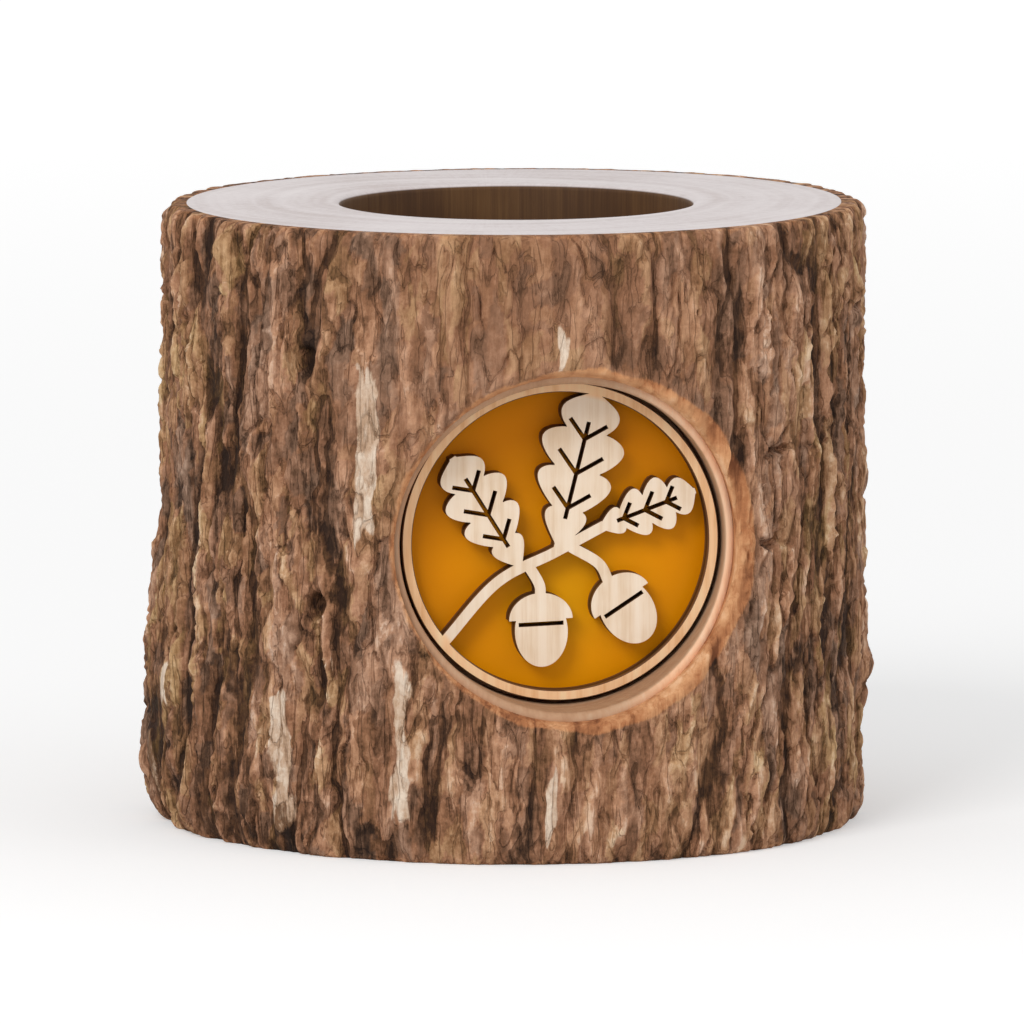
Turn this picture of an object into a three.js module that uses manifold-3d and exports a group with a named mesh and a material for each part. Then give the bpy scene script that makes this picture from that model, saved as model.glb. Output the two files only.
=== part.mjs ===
// A wooden tealight holder: a slice of a thin log that keeps its bark. A well for the tealight is
// bored down from its top. A round window is bored through its side into the well. In the window
// lie an amber pane and, in front of it, a fretwork disc. The tealight stands loose in the well.
//
// Sizes are in millimetres. +Z is up, the well's axis is the Z axis, the log stands on z = 0,
// and the window looks along -Y.

import * as THREE from 'three';
import { mergeVertices } from 'three/addons/utils/BufferGeometryUtils.js';
import Module from 'manifold-3d';

const wasm = await Module();
wasm.setup();

// The tealight, a standard one.
const cupBaseRadius = 18.3;
const cupMouthRadius = 18.9;
const cupHeight = 16;
const cupWall = 0.4;
const rimLip = 0.5; // how far the cup's rolled rim stands out
const waxDepth = 13.2;
const wickRadius = 0.8;
const wickRise = 7; // wick above the wax
const footRadius = 6.2; // sheet metal foot that holds the wick
const footSheet = 0.3;
const neckHeight = 2.6;
const neckWall = 0.5;
const tealightPlay = 0.3; // clearance between the tealight's own pieces

// The well.
const fingerRoom = 5.6; // space round the tealight for fingertips
const wellRadius = cupMouthRadius + rimLip + fingerRoom;
const floorThickness = 18;
const mouthChamfer = 0.8;
const floorCorner = 1.5; // round left by the drill

// The log.
const logHeight = 88;
const wallThickness = 21.3; // wood between the well and the bark
const woodRadius = wellRadius + wallThickness;
const outOfRound = 0.5;

// The bark.
const barkGap = 0.3; // between the wood and the bark
const barkBase = 1.5; // bark left under the deepest furrow
const furrowDepth = 2.3;
const furrowPitch = 6.4; // how often a furrow comes, across the log
const furrowWidth = 1.1; // from a furrow's middle to where its sides flatten out
const ridgeLength = 34; // how long a ridge runs before it bends or breaks
const ridgeShare = 0.68; // how high the ridges stand, as a share of furrowDepth
const furrowFloor = 0.06; // how high a furrow's floor stands, as a share of furrowDepth
const calmSide = -96; // degrees: the bark is smoother on the side chosen for the window
const calmWidth = 34;
const calmShare = 0.4; // how much of the furrows is missing there
const calmLevel = 0.62; // how high the smoother bark stands, as a share of furrowDepth
const edgeWear = 0.45; // share of the bark's thickness sanded off at the rims
const edgeWearHeight = 4;
const barkInner = woodRadius + barkGap;
const ridgeRadius = barkInner + barkBase + furrowDepth;
const girth = 2 * Math.PI * ridgeRadius;

// How the furrows sway: the size of each sway across and along the log, and how far it reaches.
const wander = { across: 13, along: 24, reach: 3.2 };
const jog = { across: 3.6, along: 6, reach: 1.7 };
const slide = { across: 4, along: 22, reach: 8 }; // this one moves them along the log

// Swellings of the bark: where round the log, how high, how far out, how wide and how tall.
const swellings = [
  { angle: 174, height: 12, rise: 3.6, width: 26, above: 27, below: 11 },
  { angle: -8, height: 21, rise: 1.7, width: 7, above: 4, below: 4 },
];

// The fretwork disc, the pane and the window that they lie in.
const discRadius = 22.4;
const discThickness = 3;
const discRimWidth = 1.4;
const paneThickness = 2;
const discPlay = 0.6; // clearance round the disc
const glueLine = 0.1;
const ledgeWidth = 3.6; // wood that the pane is glued against
const sideRecess = 2.7; // how far the disc lies behind the wood at the window's sides
const woodBevel = 1.2;
const barkBevel = 1.9;
const windowRadius = discRadius + discPlay;
const windowHeight = logHeight / 2;
const discFront = Math.sqrt(woodRadius ** 2 - windowRadius ** 2) - sideRecess;
const discBack = discFront - discThickness;
const paneFront = discBack - glueLine;
const paneBack = paneFront - paneThickness;
const ledge = paneBack - glueLine; // distance of the seat from the well's axis

// The oak twig of the fretwork.
const stemWidth = 1.5;
const veinWidth = 0.6;
const discOverlap = 0.5; // how deep the twig's ends run into the disc's rim

const roundSteps = 64;
const logColumns = 120;
const barkColumns = 160;
const barkRows = 14;

const degrees = Math.PI / 180;

// Takes a closed geometry, and gives it as a solid for cutting and joining.
function solidOf(geometry) {
  const bare = geometry.clone();
  bare.deleteAttribute('normal');
  bare.deleteAttribute('uv');
  const merged = mergeVertices(bare, 1e-4);
  const triVerts = [];
  for (let i = 0; i < merged.index.count; i += 3) {
    const [a, b, c] = [0, 1, 2].map((k) => merged.index.getX(i + k));
    if (a !== b && b !== c && c !== a) triVerts.push(a, b, c);
  }
  const vertProperties = Float32Array.from(merged.attributes.position.array);
  return new wasm.Manifold(new wasm.Mesh({
    numProp: 3,
    vertProperties,
    triVerts: Uint32Array.from(triVerts),
  }));
}

// Takes a solid, and gives it as a geometry.
function geometryOf(solid) {
  const { vertProperties, triVerts } = solid.getMesh();
  const geometry = new THREE.BufferGeometry();
  geometry.setAttribute('position', new THREE.BufferAttribute(Float32Array.from(vertProperties), 3));
  geometry.setIndex(new THREE.BufferAttribute(Uint32Array.from(triVerts), 1));
  geometry.computeVertexNormals();
  return geometry;
}

// Turns a profile of [radius, height] points about the Z axis.
function turned(profile, steps = roundSteps) {
  const points = profile.map(([radius, height]) => new THREE.Vector2(radius, height));
  return new THREE.LatheGeometry(points, steps).rotateX(Math.PI / 2);
}

// Skins rings of equally many points. The last ring joins the first one, or both ends get a cap.
function skinned(rings, joined) {
  const count = rings[0].length;
  const positions = rings.flat(2);
  const index = [];
  const last = joined ? rings.length : rings.length - 1;
  for (let i = 0; i < last; i += 1) {
    for (let j = 0; j < count; j += 1) {
      const next = ((i + 1) % rings.length) * count;
      const a = i * count + j;
      const b = i * count + (j + 1) % count;
      const c = next + (j + 1) % count;
      const d = next + j;
      index.push(a, b, c, a, c, d);
    }
  }
  if (!joined) {
    for (let j = 1; j < count - 1; j += 1) {
      const top = (rings.length - 1) * count;
      index.push(0, j + 1, j, top, top + j, top + j + 1);
    }
  }
  const geometry = new THREE.BufferGeometry();
  geometry.setAttribute('position', new THREE.Float32BufferAttribute(positions, 3));
  geometry.setIndex(index);
  return geometry;
}

// Distance of the wood's edge from the well's axis. A log is never quite round.
function woodEdge(angle, radius = woodRadius) {
  const sway = Math.sin(2 * angle + 0.7) + 0.6 * Math.sin(3 * angle - 1.1);
  return radius + outOfRound * sway;
}

// A fixed value from 0 to 1 for a place in a grid. Each layer is another pattern.
function gridValue(row, column, layer) {
  const wave = Math.sin(12.9898 * column + 78.233 * row + 37.719 * layer) * 43758.5453;
  return wave - Math.floor(wave);
}

// Smooth values from 0 to 1 in blobs of the size given. The pattern joins up round the log, where
// turn runs from 0 to 1.
function softNoise(turn, height, across, along, layer) {
  const columns = Math.max(3, Math.round(girth / across));
  const x = turn * columns;
  const y = Math.max(0, height / along + 3);
  const [i, j] = [Math.floor(x), Math.floor(y)];
  const [f, g] = [x - i, y - j].map((t) => t * t * (3 - 2 * t));
  const at = (row, column) => gridValue(row, THREE.MathUtils.euclideanModulo(column, columns), layer);
  const low = at(j, i) * (1 - f) + at(j, i + 1) * f;
  const high = at(j + 1, i) * (1 - f) + at(j + 1, i + 1) * f;
  return low * (1 - g) + high * g;
}

// How far a place lies from the nearest furrow, across the log. Furrows run where a noise passes
// its middle value, and the noise's slope turns that into a distance.
function fromFurrow(turn, height) {
  const noise = (place) => 1.3 * softNoise(place, height, furrowPitch, ridgeLength, 4)
    + 0.7 * softNoise(place, height, furrowPitch / 2.1, ridgeLength / 2.3, 104) - 1;
  const step = furrowPitch / 16;
  const slope = Math.abs(noise(turn + step / girth) - noise(turn - step / girth)) / (2 * step);
  const leastSlope = 0.768 / furrowPitch;
  return Math.abs(noise(turn)) / (slope + leastSlope);
}

// The angle from one direction to another, from -180 to 180 degrees.
function degreesFrom(angle, direction) {
  return THREE.MathUtils.euclideanModulo(angle / degrees - direction + 180, 360) - 180;
}

// How far a sway moves the furrows at a place.
function swayAt(sway, turn, height, layer) {
  return sway.reach * (softNoise(turn, height, sway.across, sway.along, layer) - 0.5);
}

// How high the bark stands at a place, as a share of furrowDepth: lowest in a furrow, and higher
// by ridgeShare on a ridge. The furrows run up the log and wander to the sides.
function barkRelief(angle, height) {
  const turn = THREE.MathUtils.euclideanModulo(angle / (2 * Math.PI), 1);
  const aside = swayAt(wander, turn, height, 1) + swayAt(jog, turn, height, 2);
  const away = fromFurrow(turn + aside / girth, height + swayAt(slide, turn, height, 3));
  const ridge = furrowFloor + ridgeShare * (1 - Math.exp(-((away / furrowWidth) ** 1.3)));
  const calm = calmShare * Math.exp(-((degreesFrom(angle, calmSide) / calmWidth) ** 2));
  return ridge + (calmLevel - ridge) * calm;
}

// How far the swellings lift the bark at a place.
function swell(angle, height) {
  let lift = 0;
  for (const s of swellings) {
    const turn = degreesFrom(angle, s.angle);
    const reach = height > s.height ? s.above : s.below;
    lift += s.rise * Math.exp(-((turn / s.width) ** 2) - ((height - s.height) / reach) ** 2);
  }
  return lift;
}

// Share of the bark's thickness that is left at a height, where the rims are sanded round.
function rimShare(height) {
  const fromRim = Math.min(height, logHeight - height);
  const depth = Math.max(0, 1 - fromRim / edgeWearHeight);
  return 1 - edgeWear * (1 - Math.sqrt(Math.max(0, 1 - depth ** 2)));
}

// Points round the log at one height.
function logRing(height, edge, columns) {
  const ring = [];
  for (let j = 0; j < columns; j += 1) {
    const angle = 2 * Math.PI * j / columns;
    const reach = edge(angle, height);
    ring.push([reach * Math.cos(angle), reach * Math.sin(angle), height]);
  }
  return ring;
}

// Distance from the well's axis, along the window's axis, of a log surface of a given radius. It
// falls away to the window's sides, so cuts that follow it are as deep all the way round.
function underSurface(surfaceRadius, depth) {
  return (x) => Math.sqrt(surfaceRadius ** 2 - x ** 2) - depth;
}

// What is cut away for the window, as a stack of rings on its axis, from the well outwards. Each
// ring has a radius and a distance from the well's axis, which may change with x.
function windowCut(rings) {
  return solidOf(skinned(rings.map(([radius, distance]) => {
    const points = [];
    for (let j = 0; j < roundSteps; j += 1) {
      const turn = 2 * Math.PI * j / roundSteps;
      const x = radius * Math.cos(turn);
      const z = windowHeight + radius * Math.sin(turn);
      points.push([x, typeof distance === 'number' ? -distance : -distance(x), z]);
    }
    return points;
  }), false));
}

// The log's wood with its well, the light hole, the seat of the pane and the window's mouth.
function woodCore() {
  const outline = new THREE.Shape(
    logRing(0, (angle) => woodEdge(angle), logColumns).map(([x, y]) => new THREE.Vector2(x, y)),
  );
  const log = solidOf(new THREE.ExtrudeGeometry(outline, { depth: logHeight, bevelEnabled: false }));
  const corner = wellRadius - floorCorner;
  const well = solidOf(turned([
    [0, floorThickness],
    [corner, floorThickness],
    [wellRadius - 0.3 * floorCorner, floorThickness + 0.3 * floorCorner],
    [wellRadius, floorThickness + floorCorner],
    [wellRadius, logHeight - mouthChamfer],
    [wellRadius + 2 * mouthChamfer, logHeight + mouthChamfer],
    [0, logHeight + mouthChamfer],
  ]));
  const window = windowCut([
    [windowRadius - ledgeWidth, wellRadius / 2],
    [windowRadius - ledgeWidth, ledge],
    [windowRadius, ledge],
    [windowRadius, underSurface(woodRadius, woodBevel)],
    [windowRadius + woodBevel, underSurface(woodRadius, 0)],
    [windowRadius + 1.6 * woodBevel, 2 * ridgeRadius],
  ]);
  return geometryOf(log.subtract(well).subtract(window));
}

// The bark as one ring of furrowed ridges, open at the window.
function bark() {
  const outer = (angle, height) => {
    const thickness = barkBase + furrowDepth * barkRelief(angle, height);
    return woodEdge(angle, barkInner) + (thickness + swell(angle, height)) * rimShare(height);
  };
  const inner = (angle) => woodEdge(angle, barkInner);
  const heights = [0, 0.25, 0.6].map((share) => share * edgeWearHeight);
  for (let i = 0; i <= barkRows; i += 1) {
    heights.push(edgeWearHeight + (logHeight - 2 * edgeWearHeight) * i / barkRows);
  }
  heights.push(...[0.6, 0.25, 0].map((share) => logHeight - share * edgeWearHeight));
  const rings = heights.map((height) => logRing(height, outer, barkColumns));
  rings.push(logRing(logHeight, inner, barkColumns), logRing(0, inner, barkColumns));
  const window = windowCut([
    [windowRadius + woodBevel, wellRadius],
    [windowRadius + woodBevel, underSurface(barkInner, 0)],
    [windowRadius + woodBevel + barkBevel, underSurface(ridgeRadius, 0)],
    [windowRadius + woodBevel + 1.6 * barkBevel, 2 * ridgeRadius],
  ]);
  return geometryOf(solidOf(skinned(rings, true)).subtract(window));
}

// A plate of the disc's thickness from an outline that lies flat.
function cutFrom(outline) {
  return new THREE.ExtrudeGeometry(outline, {
    depth: discThickness,
    bevelEnabled: false,
    curveSegments: 10,
  });
}

// Moves a flat piece to its place in the disc: turned by an angle in degrees, then shifted.
function placed(geometry, x, y, angle) {
  return solidOf(geometry.rotateZ(angle * degrees).translate(x, y, 0));
}

// A lobed oak leaf that grows along +X from its foot at the origin.
function leafOutline(length, halfWidth) {
  const lobes = 4;
  const steps = 36;
  const edge = [];
  for (let i = 0; i <= steps; i += 1) {
    const along = i / steps;
    const lobe = Math.abs(Math.sin(Math.PI * lobes * along)) ** 0.7;
    const body = Math.sin(Math.PI * along ** 1.25) ** 0.6;
    const half = halfWidth * Math.max(0.1, body * (0.5 + 0.5 * lobe));
    edge.push(new THREE.Vector2(length * (along + 0.04 * lobe * body), half));
  }
  const back = edge.map((p) => new THREE.Vector2(p.x, -p.y)).reverse();
  return new THREE.Shape([...edge, ...back]);
}

// Slots that draw a leaf's midrib and its side veins.
function leafVeins(length, halfWidth) {
  const slot = (x, y, long, angle) => {
    const box = new THREE.BoxGeometry(long, veinWidth, 3 * discThickness);
    return placed(box, x, y, angle);
  };
  let veins = slot(0.5 * length, 0, 0.62 * length, 0);
  for (const along of [0.26, 0.48, 0.7]) {
    const long = halfWidth * (0.72 - 0.5 * Math.abs(along - 0.48));
    const lean = 48;
    const x = along * length + 0.5 * long * Math.cos(lean * degrees);
    const y = 0.5 * long * Math.sin(lean * degrees);
    veins = veins.add(slot(x, y, long, lean)).add(slot(x, -y, long, -lean));
  }
  return veins;
}

// Length of a line from (x, y) in the direction given that ends in the disc's rim.
function reachToRim(x, y, angle) {
  const rim = discRadius - discRimWidth + discOverlap;
  const toward = x * Math.cos(angle * degrees) + y * Math.sin(angle * degrees);
  return Math.sqrt(toward ** 2 - x ** 2 - y ** 2 + rim ** 2) - toward;
}

// A leaf with its veins, from a foot at (x, y).
function leaf(x, y, angle, length) {
  const halfWidth = 0.265 * length;
  const blade = placed(cutFrom(leafOutline(length, halfWidth)), x, y, angle);
  const veins = geometryOf(leafVeins(length, halfWidth));
  return blade.subtract(placed(veins, x, y, angle));
}

// An acorn that hangs along +X: its cup, a slot under the cup, and its nut.
function acorn(x, y, angle, length) {
  const nut = new THREE.Shape();
  const nutWidth = 0.36 * length;
  nut.absellipse(0.52 * length, 0, 0.48 * length, nutWidth, 0, 2 * Math.PI, false, 0);
  const cap = new THREE.Shape();
  cap.absellipse(0.36 * length, 0, 0.36 * length, 1.2 * nutWidth, 0.5 * Math.PI, 1.5 * Math.PI, false, 0);
  const seam = new THREE.BoxGeometry(veinWidth, 1.7 * nutWidth, 3 * discThickness);
  const body = solidOf(cutFrom(nut)).add(solidOf(cutFrom(cap)));
  const cut = body.subtract(solidOf(seam.translate(0.36 * length + veinWidth, 0, 0)));
  return placed(geometryOf(cut), x, y, angle);
}

// A twig of even width through the points given.
function twig(points) {
  const curve = new THREE.SplineCurve(points.map(([x, y]) => new THREE.Vector2(x, y)));
  const centres = curve.getPoints(8 * (points.length - 1));
  const side = (sign) => centres.map((p, i) => {
    const along = curve.getTangent(i / (centres.length - 1));
    return new THREE.Vector2(p.x - sign * along.y * stemWidth / 2, p.y + sign * along.x * stemWidth / 2);
  });
  return solidOf(cutFrom(new THREE.Shape([...side(-1), ...side(1).reverse()])));
}

// The fretwork disc: a rim with an oak twig of leaves and acorns inside it, cut from one sheet.
function motifDisc() {
  const rimInner = discRadius - discRimWidth;
  const rim = solidOf(turned([
    [rimInner, 0],
    [discRadius, 0],
    [discRadius, discThickness],
    [rimInner, discThickness],
    [rimInner, 0],
  ]));
  const unit = discRadius / 22.4; // the twig is drawn for a disc of this radius
  const at = (x, y) => [x * unit, y * unit];
  const start = (rimInner + discOverlap) / Math.hypot(16, 13.4);
  let disc = rim.add(twig([
    [-16 * start, -13.4 * start],
    at(-9, -5.6),
    at(-1, -1.6),
    at(6.2, 2.1),
  ]));
  disc = disc.add(twig([at(-4.6, -3.2), at(-3, -6), at(-2.9, -8)]));
  disc = disc.add(twig([at(1.5, -0.8), at(5.4, -3.2), at(6.9, -6)]));
  disc = disc.add(leaf(...at(-5.5, -3.6), 122, 18.5 * unit));
  disc = disc.add(leaf(...at(-0.4, -1), 76, reachToRim(...at(-0.4, -1), 76)));
  disc = disc.add(leaf(...at(5.4, 1.8), 20, 14.6 * unit));
  disc = disc.add(acorn(...at(-2.9, -7.2), -88, 10.4 * unit));
  disc = disc.add(acorn(...at(6.6, -5.4), -57, 10.4 * unit));
  return geometryOf(disc).rotateX(Math.PI / 2);
}

// The pane, a plain disc.
function amberPane() {
  return new THREE.CylinderGeometry(discRadius, discRadius, paneThickness, roundSteps);
}

// The tealight's pieces stand on the cup's floor, which lies cupWall above its underside.
const tealightSteps = 44;
const neckOuter = wickRadius + tealightPlay + neckWall;

// The thin metal cup with its rolled rim.
function tealightCup() {
  const lip = cupMouthRadius + rimLip;
  const roll = 2 * rimLip;
  return turned([
    [0, 0],
    [cupBaseRadius - cupWall, 0],
    [cupBaseRadius, cupWall],
    [cupMouthRadius, cupHeight - roll],
    [lip, cupHeight - 0.7 * roll],
    [lip, cupHeight - 0.3 * roll],
    [cupMouthRadius, cupHeight],
    [cupMouthRadius - cupWall, cupHeight],
    [cupBaseRadius - cupWall, cupWall],
    [0, cupWall],
  ], tealightSteps);
}

// The wax, with the wick's hole and room for the wick's foot under it.
function tealightWax() {
  const slope = (cupMouthRadius - cupBaseRadius) / cupHeight;
  const base = cupBaseRadius - cupWall - tealightPlay;
  const hole = wickRadius + tealightPlay;
  const footTop = footSheet + tealightPlay;
  const neckTop = footSheet + neckHeight + tealightPlay;
  return turned([
    [hole, waxDepth],
    [hole, neckTop],
    [neckOuter + tealightPlay, neckTop],
    [neckOuter + tealightPlay, footTop],
    [footRadius + tealightPlay, footTop],
    [footRadius + tealightPlay, 0],
    [base, 0],
    [base + slope * waxDepth, waxDepth],
    [hole, waxDepth],
  ], tealightSteps);
}

// The metal foot: a thin sheet with a neck that is pinched round the wick.
function wickFoot() {
  const hole = wickRadius + tealightPlay;
  return turned([
    [hole, 0],
    [footRadius, 0],
    [footRadius, footSheet],
    [neckOuter, footSheet],
    [neckOuter, footSheet + neckHeight],
    [hole, footSheet + neckHeight],
    [hole, 0],
  ], 24);
}

function wick() {
  return turned([
    [0, 0],
    [wickRadius, 0],
    [wickRadius, waxDepth + wickRise - wickRadius],
    [0.4 * wickRadius, waxDepth + wickRise],
    [0, waxDepth + wickRise],
  ], 14);
}

// One named piece with its own finish.
function piece(name, geometry, color, roughness, more = {}) {
  const material = new THREE.MeshStandardMaterial({ color, roughness, metalness: 0, ...more });
  const mesh = new THREE.Mesh(geometry, material);
  mesh.name = name;
  return mesh;
}

const pane = piece('amber_pane', amberPane(), 0xb8740f, 0.35, { transparent: true, opacity: 0.8 });
pane.position.set(0, -(paneFront + paneBack) / 2, windowHeight);

const disc = piece('motif_disc', motifDisc(), 0xe3cbaa, 0.7);
disc.position.set(0, -discBack, windowHeight);

const holder = new THREE.Group();
holder.add(
  piece('wood_core', woodCore(), 0xd5bca8, 0.75),
  piece('bark', bark(), 0x80614c, 0.95),
  pane,
  disc,
);

const filling = new THREE.Group();
filling.add(
  piece('tealight_wax', tealightWax(), 0xf3eee2, 0.45),
  piece('tealight_wick', wick(), 0xeee6d4, 0.9),
  piece('wick_foot', wickFoot(), 0xb9bcc0, 0.35, { metalness: 1 }),
);
filling.position.z = cupWall;

const tealight = new THREE.Group();
tealight.add(piece('tealight_cup', tealightCup(), 0xc6c9cd, 0.3, { metalness: 1 }), filling);
tealight.position.z = floorThickness;

const tealightHolder = new THREE.Group();
tealightHolder.name = 'tealight_holder';
tealightHolder.add(holder, tealight);

export default tealightHolder;
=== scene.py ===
# %% [markdown]
# # A wooden tealight holder, cut from a thin log
#
# The real thing is a slice of a branch with its bark on. A wide well is bored into its top for
# a tealight, and a round window is drilled through its side into the well. An amber pane closes
# the window, and a fretwork disc of laser-cut plywood lies in front of it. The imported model
# holds the sizes, the joint and the plain solids. This script dresses them: each visible piece
# is made again as a fine mesh in the same place, with a finish built from nodes.

import math
from functools import partial

import bmesh
import bpy
import numpy as np
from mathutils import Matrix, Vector


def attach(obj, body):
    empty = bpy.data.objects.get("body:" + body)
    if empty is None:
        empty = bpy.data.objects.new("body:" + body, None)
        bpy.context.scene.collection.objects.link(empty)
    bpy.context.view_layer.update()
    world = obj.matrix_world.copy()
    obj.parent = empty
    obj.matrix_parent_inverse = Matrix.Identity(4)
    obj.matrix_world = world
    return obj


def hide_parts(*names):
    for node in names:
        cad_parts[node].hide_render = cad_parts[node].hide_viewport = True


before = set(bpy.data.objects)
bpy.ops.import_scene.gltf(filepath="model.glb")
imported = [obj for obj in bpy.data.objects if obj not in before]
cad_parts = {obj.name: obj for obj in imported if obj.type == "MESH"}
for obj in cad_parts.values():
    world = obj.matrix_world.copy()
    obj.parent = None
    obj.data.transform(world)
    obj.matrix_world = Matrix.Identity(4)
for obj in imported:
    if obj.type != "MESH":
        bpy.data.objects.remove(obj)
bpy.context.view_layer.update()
print("nodes:", sorted(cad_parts))

# %% [markdown]
# ## Sizes
#
# All sizes are written in millimetres, as on a workshop drawing, and `MM` turns them to metres
# where a mesh is made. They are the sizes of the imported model, so that each fine piece lies
# exactly where its solid lies.

# %% Sizes of the log, the window and the tealight
MM = 0.001

LOG_HEIGHT = 88.0
WOOD_RADIUS = 46.3
WELL_RADIUS = 25.0
FLOOR_HEIGHT = 18.0
BARK_BASE = 1.5
FURROW_DEPTH = 2.3
RIDGE_RADIUS = WOOD_RADIUS + 0.3 + BARK_BASE + FURROW_DEPTH

DISC_RADIUS = 22.4
DISC_THICKNESS = 3.0
DISC_RIM = 1.4
WINDOW_RADIUS = DISC_RADIUS + 0.6
WINDOW_HEIGHT = LOG_HEIGHT / 2
WOOD_BEVEL = 1.2
BARK_BEVEL = 1.9
MOUTH_RADIUS = WINDOW_RADIUS + WOOD_BEVEL
DISC_BACK = math.sqrt(WOOD_RADIUS**2 - WINDOW_RADIUS**2) - 2.7 - DISC_THICKNESS
PANE_FRONT = DISC_BACK - 0.1
PANE_THICKNESS = 2.0
LEDGE = PANE_FRONT - PANE_THICKNESS - 0.1
LIGHT_HOLE_RADIUS = WINDOW_RADIUS - 3.6

CUP_BASE_RADIUS = 18.3
CUP_MOUTH_RADIUS = 18.9
CUP_HEIGHT = 16.0
CUP_WALL = 0.3
WAX_DEPTH = 13.2
WICK_RADIUS = 0.8
WICK_TOP = WAX_DEPTH + 7.0
FOOT_RADIUS = 6.2

print(f"the disc's face lies {DISC_BACK + DISC_THICKNESS:.2f} mm from the well's axis")

# %% [markdown]
# ## Making meshes
#
# Almost everything here is a skin over rings of points: a ring of points, the next ring, and
# quads between them. A turned piece is the same thing with round rings. Shapes that no ring can
# give, such as a hole through the side of a log, are cut with the Boolean modifier, as a drill
# cuts the real one.


# %% Helpers that make meshes
def plain_object(name, points, faces):
    """An object from points in millimetres, with all its faces looking outwards."""
    mesh = bpy.data.meshes.new(name)
    mesh.from_pydata((np.asarray(points) * MM).tolist(), [], [list(f) for f in faces])
    shape = bmesh.new()
    shape.from_mesh(mesh)
    bmesh.ops.recalc_face_normals(shape, faces=shape.faces)
    shape.to_mesh(mesh)
    shape.free()
    made = bpy.data.objects.new(name, mesh)
    bpy.context.collection.objects.link(made)
    return made


def cut_or_join(base, tools, operation="DIFFERENCE"):
    """Cuts the tools out of the base, or joins them to it, and takes the tools away."""
    for tool in tools:
        step = base.modifiers.new("step", "BOOLEAN")
        step.operation, step.solver, step.object = operation, "EXACT", tool
    depsgraph = bpy.context.evaluated_depsgraph_get()
    done = bpy.data.meshes.new_from_object(base.evaluated_get(depsgraph))
    base.modifiers.clear()
    base.data = done
    for tool in tools:
        bpy.data.objects.remove(tool)
    return base


def finish_piece(piece, material, body, node, corner=38):
    """Gives a piece its material, smooth faces with crisp corners and its body, and hides the
    imported node that it stands in for.
    """
    piece.data.materials.clear()
    piece.data.materials.append(material)
    piece.data.polygons.foreach_set("material_index", [0] * len(piece.data.polygons))
    piece.data.shade_smooth()
    piece.data.set_sharp_from_angle(angle=math.radians(corner))
    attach(piece, body)
    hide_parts(node)
    print(f"{piece.name}: {len(piece.data.vertices)} points, {len(piece.data.polygons)} faces")


def points_of(piece):
    """A piece's points in millimetres, one row each."""
    flat = np.empty(len(piece.data.vertices) * 3)
    piece.data.vertices.foreach_get("co", flat)
    return flat.reshape(-1, 3) / MM


def paint(piece, name, values):
    """Stores one number for each point, which the material reads by name."""
    layer = piece.data.attributes.new(name, "FLOAT", "POINT")
    layer.data.foreach_set("value", np.ascontiguousarray(values, dtype=np.float32))


def ring_faces(rings, steps, closed=False):
    """Quads between rings of equally many points. Closed joins the last ring to the first."""
    first = np.arange(rings if closed else rings - 1)
    i, j = np.meshgrid(first, np.arange(steps), indexing="ij")
    k = (j + 1) % steps
    upper = (i + 1) % rings
    quads = [i * steps + j, i * steps + k, upper * steps + k, upper * steps + j]
    return np.stack(quads, -1).reshape(-1, 4)


def capped_faces(rings, steps):
    """Quads between rings of equally many points, and one face over each end."""
    last = (rings - 1) * steps
    caps = [list(range(steps))[::-1], list(range(last, last + steps))]
    return ring_faces(rings, steps).tolist() + caps


def turned(profile, steps):
    """Points and faces of a profile of (radius, height) turned about the Z axis.

    A profile point on the axis becomes a single point with a fan of triangles.
    """
    turn = np.arange(steps) * 2 * math.pi / steps
    points, rings, faces = [], [], []
    for radius, height in profile:
        start = len(points)
        if radius < 1e-6:
            points.append((0.0, 0.0, height))
            rings.append([start] * steps)
        else:
            points += [(radius * math.cos(t), radius * math.sin(t), height) for t in turn]
            rings.append(list(range(start, start + steps)))
    for lower, upper in zip(rings, rings[1:]):
        for j in range(steps):
            k = (j + 1) % steps
            quad = [lower[j], lower[k], upper[k], upper[j]]
            faces.append([v for n, v in enumerate(quad) if v not in quad[:n]])
    return np.array(points), [f for f in faces if len(f) > 2]


def turned_ring(profile, steps):
    """Points and faces of a closed profile, such as a rim's, turned about the Z axis."""
    return turned(profile, steps)[0], ring_faces(len(profile), steps, closed=True).tolist()


def around_axis(points):
    """Each point's distance from the Z axis, and its angle about it."""
    return np.hypot(points[:, 0], points[:, 1]), np.arctan2(points[:, 1], points[:, 0])


def facing_window(points):
    """Lays a turned piece on the window's axis: its height becomes the distance from the well."""
    x, z, y = np.asarray(points).T
    return np.stack([x, -y, z + WINDOW_HEIGHT], 1)


def arc(centre, radius, start, end, steps):
    """Points of a part of a circle in a profile, between two angles in degrees."""
    angles = np.radians(np.linspace(start, end, steps))
    return [(centre[0] + radius * math.cos(a), centre[1] + radius * math.sin(a)) for a in angles]


print("mesh helpers are ready")

# %% [markdown]
# ## Making materials
#
# Colours are chosen as sRGB hex values, as in any paint program, and shaders work in linear
# light, so one function converts them. Another adds a node together with its settings and its
# links. Everything else is a plain list of nodes for each finish.


# %% Helpers that make materials
def linear(hex_colour):
    """An sRGB hex value as the linear colour that a shader expects."""
    channels = [int(hex_colour[i : i + 2], 16) / 255 for i in (1, 3, 5)]
    return [c / 12.92 if c <= 0.04045 else ((c + 0.055) / 1.055) ** 2.4 for c in channels] + [1]


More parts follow.
